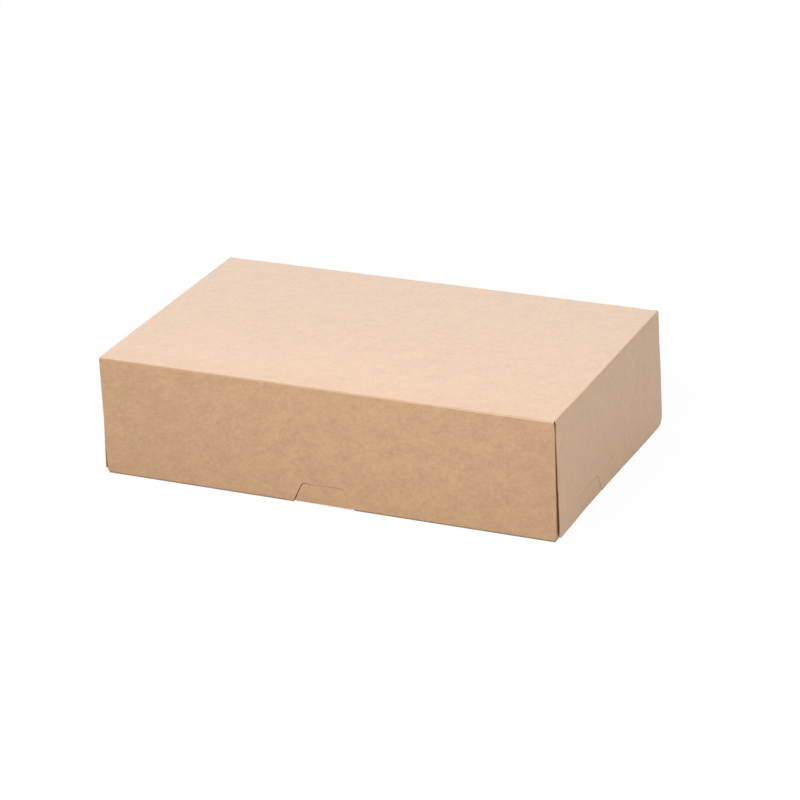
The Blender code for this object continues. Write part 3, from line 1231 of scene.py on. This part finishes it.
@dataclass
class Tray:
    """The glued tray: floor, four walls, and the tabs folded in behind the long walls.

    Each fade is the length over which a panel's slack dies out towards its folds or glued ends.
    """

    body: str = "tray"
    side_lock_y: float = SIDE_LOCK_SETBACK - DEPTH / 2
    lock_crease: float = FLAP_HEIGHT - LOCK_HEIGHT
    right_headroom: float = 1.4
    tab_reach: float = 25.0
    tab_trim: float = 2.0
    tab_taper: float = 3.0
    tab_radius: float = 2.5
    floor_crown: Slack = Slack(0.18, 0.12, 70.0, 3.0)
    floor_fade: float = 30.0
    front_bow: Slack = Slack(0.45, 0.15, 60.0, 8.0)
    rear_bow: Slack = Slack(0.22, 0.1, 60.0, 12.0)
    free_half: float = 82.0
    long_fade: float = 60.0
    side_bow: Slack = Slack(0.5, 0.2, 50.0, 20.0)
    side_inset: float = 2.0
    side_fade: float = 40.0
    wall_rise: Rise = Rise(FOLD_REACH, WALL_HEIGHT)
    floor: Place = field(default_factory=on_table)

    def build(self, coats: Coats) -> Place:
        """Make the tray.

        Args:
            coats: the board's materials.

        Returns:
            The rear wall's place, on which the lid hangs.
        """
        self.build_floor(coats)
        self.build_front_wall(coats)
        for side in Side:
            self.build_side_wall(side, coats)
        return self.build_rear_wall(coats)

    def build_floor(self, coats: Coats) -> None:
        """Make the floor panel, between its four folds.

        Args:
            coats: the board's materials.
        """
        half = TRAY_HALF - FOLD_REACH
        front = -TRAY_FRONT - FOLD_REACH
        rear = -TRAY_REAR + FOLD_REACH

        def crown(across: float, away: float) -> float:
            """Return the floor's rise off the table, between its folds."""
            clear = within(half, across, self.floor_fade) * within(front, away, self.floor_fade)
            return -clear * self.floor_crown.at(across, away)

        corners = tapered(0.0, Corner(half, rear), Corner(half, front))
        Sheet("floor_panel", self.body, self.floor, corners, crown, Slot.INSIDE).build(coats)

    def build_front_wall(self, coats: Coats) -> None:
        """Make the front wall with its slot, and its fold at the floor.

        Args:
            coats: the board's materials.
        """
        place = self.floor.hang(0, -TRAY_FRONT, fold=SQUARE)
        slot = LockSlot(FRONT_LOCK_SHIFT, PLAY + BOARD)

        def bow(across: float, away: float) -> float:
            """Return the wall's slight inward bow, between its glued ends."""
            clear = within(self.free_half, across, self.long_fade) * self.wall_rise.at(away)
            return -clear * self.front_bow.at(across, away)

        corners = [
            Corner(-TRAY_HALF, FOLD_REACH),
            *slot.notch(),
            Corner(TRAY_HALF, FOLD_REACH),
            Corner(TRAY_HALF, WALL_HEIGHT),
            Corner(-TRAY_HALF, WALL_HEIGHT),
        ]
        wall = Sheet("front_wall", self.body, place, corners, bow)
        self.add_wall(wall, slot.spans(-TRAY_HALF, TRAY_HALF), coats)

    def build_rear_wall(self, coats: Coats) -> Place:
        """Make the rear wall and its fold at the floor.

        Args:
            coats: the board's materials.

        Returns:
            The wall's place.
        """
        place = self.floor.hang(0, -TRAY_REAR, turn=math.pi, fold=SQUARE)

        def bow(across: float, away: float) -> float:
            """Return the wall's slight inward bow, flat at its folds and its glued ends."""
            free = math.sin(math.pi * ease(away / HEIGHT)) ** 2
            return -within(self.free_half, across, self.long_fade) * free * self.rear_bow.at(across, away)

        corners = tapered(0.0, Corner(TRAY_HALF, FOLD_REACH), Corner(TRAY_HALF, HEIGHT - FOLD_REACH))
        spans = [Span.straight(-TRAY_HALF, TRAY_HALF)]
        self.add_wall(Sheet("rear_wall", self.body, place, corners, bow), spans, coats)
        return place

    def build_side_wall(self, side: Side, coats: Coats) -> None:
        """Make a side wall with its slot, its fold at the floor, and its two glue tabs.

        Args:
            side: which side.
            coats: the board's materials.
        """
        sign = side.value
        word = side.name.lower()
        middle = (SIDE_WALL_REAR + SIDE_WALL_FRONT) / 2
        half = (SIDE_WALL_REAR - SIDE_WALL_FRONT) / 2
        place = self.floor.hang(sign * TRAY_HALF, -middle, turn=-sign * SQUARE, fold=SQUARE)
        reach = PLAY + BOARD + self.lock_crease * math.sin(SIDE_SPLAY)
        headroom = self.right_headroom if side is Side.RIGHT else 0.0
        slot = LockSlot((self.side_lock_y - middle) * sign, reach, headroom)
        slack = replace(self.side_bow, seed=self.side_bow.seed + sign)

        def bow(across: float, away: float) -> float:
            """Return the wall's slight inward bow, between its folded ends."""
            clear = within(half - self.side_inset, across, self.side_fade) * self.wall_rise.at(away)
            return -clear * slack.at(across, away)

        inner = half - FOLD_REACH
        low, high = self.tab_trim, WALL_HEIGHT - self.tab_trim
        one_end = [
            Corner(half, FOLD_REACH),
            Corner(half, low),
            Corner(inner, low),
            Corner(inner, high),
            Corner(half, high),
            Corner(half, WALL_HEIGHT),
        ]
        other_end = [Corner(-corner.across, corner.away) for corner in reversed(one_end)]
        corners = [other_end[-1], *slot.notch(), *one_end, *other_end[:-1]]
        ends = sorted((sign * (TRAY_FRONT + FOLD_REACH - middle), sign * (TRAY_REAR - FOLD_REACH - middle)))
        self.add_wall(Sheet(word + "_wall", self.body, place, corners, bow), slot.spans(*ends), coats)
        for end, name in ((-sign, "front"), (sign, "rear")):
            tab = place.hang(end * half, WALL_HEIGHT / 2, turn=-end * SQUARE, fold=SQUARE)
            self.build_tab(tab, f"{name}_{word}", coats)

    def add_wall(self, wall: Sheet, spans: Sequence[Span], coats: Coats) -> None:
        """Make a wall, and the fold that joins it to the floor.

        Args:
            wall: the wall.
            spans: the lengths of the fold.
            coats: the board's materials.
        """
        wall.build(coats)
        name = wall.node.replace("_wall", "_foot_fold")
        Fold(name, self.body, self.body, wall.place, SQUARE, spans, reach=FOOT_BEND).build(coats)

    def build_tab(self, place: Place, name: str, coats: Coats) -> None:
        """Make a glue tab and the fold that joins it to its side wall.

        Args:
            place: where the tab lies.
            name: the corner of the tray that it holds.
            coats: the board's materials.
        """
        half = WALL_HEIGHT / 2 - self.tab_trim
        root = half - self.tab_taper * FOLD_REACH / self.tab_reach
        tip = Corner(half - self.tab_taper, self.tab_reach, self.tab_radius)
        corners = tapered(0.0, Corner(root, FOLD_REACH), tip)
        Sheet(name + "_glue_tab", self.body, place, corners, slot=Slot.INSIDE).build(coats)
        spans = [Span(-half, half, -root, root)]
        Fold(name + "_corner_fold", self.body, self.body, place, SQUARE, spans, Slot.INSIDE).build(coats)


@dataclass
class Lid:
    """The top panel with its hinge fold, and the places where its flaps hang.

    It sags between its edges, and its scored edges droop: the shares are those of the front,
    rear, right and left edges.
    """

    rear_wall: Place
    body: str = "lid"
    sag: Slack = Slack(0.16, 0.10, 55.0, 1.0)
    sag_inset: float = 2.0
    sag_fades: tuple[float, float] = (35.0, 30.0)
    droop: float = 0.34
    droop_width: float = 12.0
    droop_shares: tuple[float, float, float, float] = (0.8, 0.1, 0.8, 0.1)

    @property
    def place(self) -> Place:
        """The lid's place, hung on the rear wall's top crease."""
        return self.rear_wall.hang(0, HEIGHT, fold=SQUARE)

    def build(self, coats: Coats) -> None:
        """Make the lid and its hinge fold.

        Args:
            coats: the board's materials.
        """
        half = LENGTH / 2 - FOLD_REACH
        corners = tapered(0.0, Corner(half, FOLD_REACH), Corner(half, DEPTH - FOLD_REACH))
        Sheet("lid_panel", self.body, self.place, corners, self.bend).build(coats)
        spans = [Span.straight(-half, half)]
        hinge = Fold("lid_hinge_fold", "tray", self.body, self.place, SQUARE, spans, reach=LID_BEND)
        hinge.child_lift = self.rear_lift
        hinge.build(coats)

    def bend(self, across: float, away: float) -> float:
        """Give the lid's slight sag, and how its scored edges droop.

        Args:
            across: place along the hinge; it runs to the left seen from the front.
            away: place from the hinge to the front.

        Returns:
            The distance upwards, below zero.
        """
        clear = within(LENGTH / 2 - self.sag_inset, across, self.sag_fades[0])
        clear *= within(DEPTH / 2 - self.sag_inset, away - DEPTH / 2, self.sag_fades[1])
        level_share = 1.0
        inward = (DEPTH - away, away, across + LENGTH / 2, LENGTH / 2 - across)
        for distance, share in zip(inward, self.droop_shares):
            level_share *= 1.0 - share * (1.0 - ease((distance - FOLD_REACH) / self.droop_width))
        return -self.droop * (1.0 - level_share) - clear * self.sag.at(across, away)

    def rear_lift(self, across: float) -> float:
        """Return the lid's bend at its hinge fold."""
        return self.bend(across, FOLD_REACH)

    def front_lift(self, across: float) -> float:
        """Return the lid's bend at the front flap's fold."""
        return self.bend(across, DEPTH - FOLD_REACH)


@dataclass
class FrontFlap:
    """The flap that hangs from the lid's front crease, with its lock tab.

    It leans in against the tray, and its corner to the left of the lock is lifted off it. Its
    right end stands further out, by right_growth at its top and at its foot. kerf, score and
    sprung are its lock's, which hangs lower than the flap's free edge by lock_drop.
    """

    lid: Lid
    body: str = "front_flap"
    trim: float = 0.6
    radius: float = 1.0
    shoulder_drop: float = 1.5
    right_growth: tuple[float, float] = (0.35, 0.2)
    lock_foot_growth: float = 0.5
    lock_head_growth: float = 0.4
    lock_drop: float = 0.42
    lock_radius: float = 2.6
    lock_offset: float = -0.12
    kerf: float = 0.17
    score: float = 0.36
    sprung: tuple[float, float] = (0.65, 0.1)
    lean: Slack = Slack(0.16, 0.05, 50.0, 5.0)
    lean_rise: Rise = Rise(2.0, 40.0)
    lifted_share: float = 0.95
    lifted_place: float = 17.0
    lifted_width: float = 9.0
    lifted_rise: Rise = Rise(38.0, 18.0)

    def bend(self, across: float, away: float) -> float:
        """Give the flap's lean against the tray.

        Args:
            across: place along its crease; it runs to the left seen from the front.
            away: place down the flap.

        Returns:
            The distance outwards, below zero.
        """
        lifted = mound(across, self.lifted_place, self.lifted_width) * self.lifted_rise.at(away)
        leaning = self.lean_rise.at(away) * self.lean.at(across, away)
        return -leaning * (1.0 - self.lifted_share * lifted)

    def build(self, coats: Coats) -> None:
        """Make the flap, its fold at the lid, and its lock tab.

        Args:
            coats: the board's materials.
        """
        place = self.lid.place.hang(0, DEPTH, fold=SQUARE)
        half = LENGTH / 2 - self.trim
        lock = LockTab(
            node="front_lock",
            flap_body=self.body,
            flap=place,
            middle=-FRONT_LOCK_SHIFT,
            bend=self.bend,
            free_lift=-self.lock_drop,
            kerf=self.kerf,
            sprung=self.sprung,
            foot=LOCK_FOOT + self.lock_foot_growth,
            head=LOCK_HEAD + self.lock_head_growth,
            radius=self.lock_radius,
            score=self.score,
            offset=self.lock_offset,
        )
        top_growth, foot_growth = self.right_growth
        corners = [
            Corner(-half, FOLD_REACH),
            Corner(half, FOLD_REACH),
            Corner(half, FLAP_HEIGHT, self.radius),
            *lock.opening(),
            Corner(-half - foot_growth, FLAP_HEIGHT, self.radius),
            Corner(-half - top_growth, FOLD_REACH + self.shoulder_drop),
        ]
        Sheet("front_flap", self.body, place, corners, self.bend).build(coats)
        spans = [Span.straight(-half, half)]
        fold = Fold("front_flap_fold", "lid", self.body, place, SQUARE, spans, reach=LID_BEND)
        fold.parent_lift = self.lid.front_lift
        fold.build(coats)
        lock.build(coats)


@dataclass
class SideFlap:
    """A side flap with its lock tab; it springs out from the tray on its crease.

    The sizes are those of the left flap. kerf, groove and sprung are its lock's.
    """

    lid: Lid
    side: Side = Side.LEFT
    kerf: float = 0.2
    groove: float = 0.28
    sprung: tuple[float, float] = (0.5, 0.3)
    slack: Slack = Slack(0.14, 0.05, 45.0, 29.0)
    slack_rise: Rise = Rise(FOLD_REACH, 10.0)
    shoulder: float = 0.9
    setback: float = 3.2
    foot_setback: float = 3.2
    shoulder_drop: float = 2.6
    shoulder_radius: float = 1.2
    rear_trim: float = 0.15
    front_radius: float = 0.8
    rear_radius: float = 5.5
    foot_drop: float = 0.22
    lock_setback: float = SIDE_LOCK_SETBACK
    end_gap: float = 0.05

    @property
    def body(self) -> str:
        """The CAD body that the flap is."""
        return self.side.name.lower() + "_flap"

    def loosened(self, away: float) -> float:
        """Return how far the flap follows its slack at a distance from its crease, 0 to 1."""
        return math.sin(SQUARE * (away / FLAP_HEIGHT)) * self.slack_rise.at(away)

    def bend(self, across: float, away: float) -> float:
        """Return how far the flap departs from its plane, outwards."""
        return -self.loosened(away) * self.slack.at(across, away)

    def own_lift(self, across: float) -> float:
        """Return the flap's bend at its fold."""
        return self.bend(across, FOLD_REACH)

    def lid_lift(self, across: float) -> float:
        """Return the lid's bend at the flap's fold."""
        sign = self.side.value
        return self.lid.bend(-sign * (LENGTH / 2 - FOLD_REACH), DEPTH / 2 + sign * across)

    def build(self, coats: Coats) -> None:
        """Make the flap, its fold at the lid, and its lock tab.

        Args:
            coats: the board's materials.
        """
        sign = self.side.value
        fold = SQUARE - SIDE_SPLAY
        place = self.lid.place.hang(-sign * LENGTH / 2, DEPTH / 2, turn=sign * SQUARE, fold=fold)
        front = sign * (DEPTH / 2 - self.setback)
        front_foot = sign * (DEPTH / 2 - self.foot_setback)
        rear = -sign * (DEPTH / 2 - self.rear_trim)
        shoulder = sign * (DEPTH / 2 - mix(self.shoulder, self.setback, FOLD_REACH / self.shoulder_drop))
        lock = LockTab(
            node=self.side.name.lower() + "_lock",
            flap_body=self.body,
            flap=place,
            middle=sign * (DEPTH / 2 - self.lock_setback),
            bend=self.bend,
            free_lift=-self.foot_drop / 2,
            kerf=self.kerf,
            sprung=self.sprung,
            groove=self.groove,
        )
        opening = lock.opening() if sign > 0 else lock.opening()[::-1]
        corners = [
            Corner(rear, FOLD_REACH),
            Corner(shoulder, FOLD_REACH),
            Corner(front, self.shoulder_drop, self.shoulder_radius),
            Corner(front_foot, FLAP_HEIGHT + self.foot_drop, self.front_radius),
            *opening,
            Corner(rear, FLAP_HEIGHT + self.foot_drop, self.rear_radius),
        ]
        Sheet(self.body, self.body, place, corners, self.bend).build(coats)
        at_lid = sign * (DEPTH / 2 - FOLD_REACH - self.end_gap)
        span = Span(rear, at_lid, rear, shoulder) if sign > 0 else Span(at_lid, rear, shoulder, rear)
        strip = Fold(self.body + "_fold", "lid", self.body, place, fold, [span], reach=LID_BEND)
        strip.parent_lift, strip.child_lift = self.lid_lift, self.own_lift
        strip.build(coats)
        lock.build(coats)


@dataclass
class RightFlap(SideFlap):
    """The right flap, which is held in towards the front and stands out a little at the rear.

    The press holds it in, most of all at the hollow, and its front edge is tucked in further.
    The flare and the swell stand out. Places along it count from its middle to the front.
    """

    side: Side = Side.RIGHT
    kerf: float = 0.1
    groove: float = 0.12
    sprung: tuple[float, float] = (0.6, 0.8)
    slack: Slack = Slack(0.06, 0.05, 45.0, 31.0)
    setback: float = 2.4
    foot_setback: float = 4.0
    held_root: float = 0.2
    held_rise: Rise = Rise(FOLD_REACH, 6.0)
    held_from: Rise = Rise(15.0, 45.0)
    press: float = 1.25
    press_rise: Rise = Rise(-62.0, 75.0)
    hollow: float = 0.42
    hollow_place: float = 35.0
    hollow_width: float = 16.0
    flare: float = 0.25
    flare_rise: Rise = Rise(35.0, 30.0)
    swell: float = 0.3
    swell_fade: Rise = Rise(FOLD_REACH, 18.0)
    swell_rise: Rise = Rise(-62.0, 25.0)
    tuck: float = 0.4
    tuck_rise: Rise = Rise(40.0, 25.0)

    def bend(self, across: float, away: float) -> float:
        """Give how far the flap departs from its plane.

        Args:
            across: place along its crease; it runs to the front.
            away: place down the flap.

        Returns:
            The distance outwards.
        """
        drop = away / FLAP_HEIGHT
        held = mix(self.held_root, 1.0, drop) * self.held_rise.at(away)
        down = mix(self.loosened(away), held, self.held_from.at(across))
        pressed = self.press * self.press_rise.at(across)
        pressed += self.hollow * mound(across, self.hollow_place, self.hollow_width)
        flare = self.flare * math.sin(math.pi * drop) ** 2 * self.flare_rise.at(-across)
        swell = self.swell * (1.0 - self.swell_fade.at(away)) * self.swell_rise.at(-across)
        tuck = self.tuck * down * self.tuck_rise.at(across)
        return flare + swell - tuck - down * (pressed + self.slack.at(across, away))


@dataclass
class Glue:
    """The films of glue behind the long walls; their solids are right, so only the finish is new."""

    finish: GlueFinish = GlueFinish("carton_glue", (0.80, 0.76, 0.66), 0.45)

    def dress(self) -> None:
        """Give each glue seam its finish."""
        material = self.finish.build()
        for name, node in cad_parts.items():
            if not name.endswith("_glue_seam"):
                continue
            for place in node.material_slots:
                place.link = "OBJECT"
                place.material = material
            LOG.info("%s: finished as dried glue", name)


@dataclass(frozen=True)
class SoftBox:
    """A large soft lamp, by its direction from the carton."""

    name: str
    azimuth: float
    elevation: float
    distance: float
    size: tuple[float, float]
    strength: float

    def build(self) -> bpy.types.Object:
        """Make the lamp.

        Returns:
            The lamp's object, aimed at the carton.
        """
        data = bpy.data.lights.new(self.name, "AREA")
        data.shape = "RECTANGLE"
        data.size, data.size_y = self.size
        data.energy = self.strength
        lamp = bpy.data.objects.new(self.name, data)
        around, up = math.radians(self.azimuth), math.radians(self.elevation)
        way = Vector((math.sin(around) * math.cos(up), -math.cos(around) * math.cos(up), math.sin(up)))
        lamp.location = Vector((0, 0, HEIGHT / 2 * MM)) + way * self.distance
        lamp.rotation_euler = way.to_track_quat("Z", "Y").to_euler()
        lamp.visible_camera = False
        bpy.context.scene.collection.objects.link(lamp)
        return lamp


@dataclass
class Studio:
    """The floor, the lamps, the world and the camera.

    The world's two levels are for soft light and for mirrored rays. The floor looks white, with
    a share of its own shading: floor_shadow to the camera, and floor_gloss_shadow in mirrored
    rays. Close under the carton its colour is darkened towards a painted contact shade, found by
    an occlusion node.
    """

    world_level: float = 0.35
    world_gloss: float = 1.0
    floor_reach: float = 4.0
    floor_tone: Colour = (0.93, 0.93, 0.93)
    floor_shadow: float = 0.05
    floor_gloss_shadow: float = 0.5
    # The contact fields paint shade into the floor's colour close under the carton.
    contact_reach: float = 0.45
    contact_range: tuple[float, float] = (0.25, 0.95)
    contact_shadow: float = 0.9
    painted_contact_shade: Colour = (0.20, 0.15, 0.11)
    contact_samples: int = 8
    lamps: Sequence[SoftBox] = (
        SoftBox("front_box", 2.0, 50.0, 0.5, (0.32, 0.32), 1.69),
        SoftBox("back_box", -157.0, 32.0, 1.4, (2.0, 1.2), 10.6),
        SoftBox("right_box", 92.0, 25.0, 1.2, (0.8, 0.6), 3.5),
    )
    camera_place: tuple[float, float, float] = (0.55629, -1.20818, 0.60332)
    camera_azimuth: float = 24.379
    camera_elevation: float = 23.4985
    camera_roll: float = -2.2001
    camera_lens: float = 135.727
    camera_sensor: float = 36.0
    camera_clip: tuple[float, float] = (0.01, 20.0)

    def build(self) -> None:
        """Make the whole studio."""
        self.build_world()
        self.build_floor()
        for lamp in self.lamps:
            lamp.build()
            LOG.info("lamp %s", lamp.name)
        self.build_camera()
        bpy.context.scene.view_settings.view_transform = "Standard"

    def shown(self, bench: NodeBench, to_camera: float, to_gloss: float, otherwise: float) -> Socket:
        """Give a value that depends on the kind of ray.

        Args:
            bench: the node tree to add to.
            to_camera: the value for camera rays.
            to_gloss: the value for rays that are mirrored or transmitted.
            otherwise: the value for rays of soft light.

        Returns:
            The socket with the value.
        """
        rays = bench.add("ShaderNodeLightPath").outputs
        feeds = {0: rays["Is Glossy Ray"], 1: rays["Is Transmission Ray"]}
        gloss = bench.add("ShaderNodeMath", feeds, operation="MAXIMUM").outputs[0]
        parts = [(gloss, to_gloss - otherwise), (rays["Is Camera Ray"], to_camera - otherwise)]
        return bench.sum_of(parts, otherwise)

    def build_world(self) -> None:
        """Make a world that looks white and lights the carton softly."""
        world = bpy.data.worlds.new("studio_world")
        world.use_nodes = True
        bpy.context.scene.world = world
        bench = NodeBench(world.node_tree)
        shown = self.shown(bench, 1.0, self.world_gloss, self.world_level)
        backdrop = bench.add("ShaderNodeBackground", {"Color": WHITE, "Strength": shown})
        bench.show(backdrop.outputs["Background"], "ShaderNodeOutputWorld")

    def build_floor(self) -> None:
        """Make the plain pale floor, which keeps a faint shadow of the carton."""
        mesh = bpy.data.meshes.new("studio_floor")
        reach = self.floor_reach
        corners = [(-reach, -reach, 0), (reach, -reach, 0), (reach, reach, 0), (-reach, reach, 0)]
        mesh.from_pydata(corners, [], [(0, 1, 2, 3)])
        floor = bpy.data.objects.new("studio_floor", mesh)
        bpy.context.scene.collection.objects.link(floor)
        material, bench = new_material("studio_paper")
        # Painted shade: close under the carton, as the occlusion node finds it, the floor's colour ramps to
        # a dark tone, and more of that colour shows to the camera.
        feeds = {"Distance": self.contact_reach * MM}
        near = bench.add("ShaderNodeAmbientOcclusion", feeds, samples=self.contact_samples)
        lit = bench.graded(near.outputs["AO"], *self.contact_range, 1.0 - self.contact_shadow, 1.0)
        tone = bench.ramp(lit, self.painted_contact_shade, self.floor_tone)
        paper = bench.add("ShaderNodeBsdfDiffuse", {"Color": tone})
        white = bench.add("ShaderNodeEmission", {"Color": WHITE})
        shown = self.shown(bench, 1.0 - self.floor_shadow, 1.0 - self.floor_gloss_shadow, 0.0)
        feeds = {0: bench.product(shown, lit), 1: paper.outputs["BSDF"], 2: white.outputs["Emission"]}
        bench.show(bench.add("ShaderNodeMixShader", feeds).outputs["Shader"])
        mesh.materials.append(material)

    def build_camera(self) -> None:
        """Make the camera at the photograph's viewing angle."""
        data = bpy.data.cameras.new("camera")
        data.sensor_width = self.camera_sensor
        data.lens = self.camera_lens
        data.clip_start, data.clip_end = self.camera_clip
        camera = bpy.data.objects.new("camera", data)
        around, up = math.radians(self.camera_azimuth), math.radians(self.camera_elevation)
        facing = Matrix.Rotation(around, 4, "Z") @ Matrix.Rotation(SQUARE - up, 4, "X")
        turned = facing @ Matrix.Rotation(math.radians(self.camera_roll), 4, "Z")
        camera.matrix_world = Matrix.Translation(self.camera_place) @ turned
        bpy.context.scene.collection.objects.link(camera)
        bpy.context.scene.camera = camera


def write_sizes() -> None:
    """Update the view layer."""
    bpy.context.view_layer.update()


def main() -> None:
    """Build the carton's pieces in order, then the studio."""
    logging.basicConfig(level=logging.INFO, format="%(name)s: %(message)s")
    coats = BoardCoats().build()
    lid = Lid(Tray().build(coats))
    lid.build(coats)
    for flap in (FrontFlap(lid), SideFlap(lid), RightFlap(lid)):
        flap.build(coats)
    Glue().dress()
    Studio().build()
    write_sizes()


if __name__ == "__main__":
    main()
